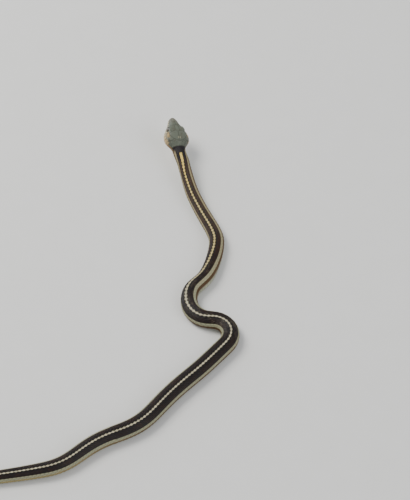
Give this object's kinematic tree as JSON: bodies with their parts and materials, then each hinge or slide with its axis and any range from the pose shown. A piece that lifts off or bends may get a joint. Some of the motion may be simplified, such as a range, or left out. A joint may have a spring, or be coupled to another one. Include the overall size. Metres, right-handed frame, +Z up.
{
  "type": "garter snake model",
  "caption": "Still, life-size garter snake lying on its belly in a swimming curve, with its broad head a little raised.",
  "frame": {"origin": "on the floor, under the middle of the whole snake's box", "axes": "+Y from the tail towards the head, +X to the right seen from behind and above, +Z up from the floor"},
  "size_m": [0.1899, 0.4008, 0.0197],
  "materials": {
    "head_scales": "satin, olive-grey head shields",
    "jaw_scales": "satin, cream lip and chin shields",
    "body_scales": "satin keeled scales, brown-black with three pale stripes",
    "eye": "gloss, dark with a round pupil"
  },
  "bodies": {
    "root": {"head": "head_scales", "lower_jaw": "jaw_scales", "eye_left": "eye", "eye_right": "eye", "neck": "body_scales", "torso_1": "body_scales", "torso_2": "body_scales", "torso_3": "body_scales", "torso_4": "body_scales", "torso_5": "body_scales", "torso_6": "body_scales", "torso_7": "body_scales", "torso_8": "body_scales", "torso_9": "body_scales", "torso_10": "body_scales", "tail_1": "body_scales", "tail_2": "body_scales", "tail_3": "body_scales"}
  },
  "joints": []
}
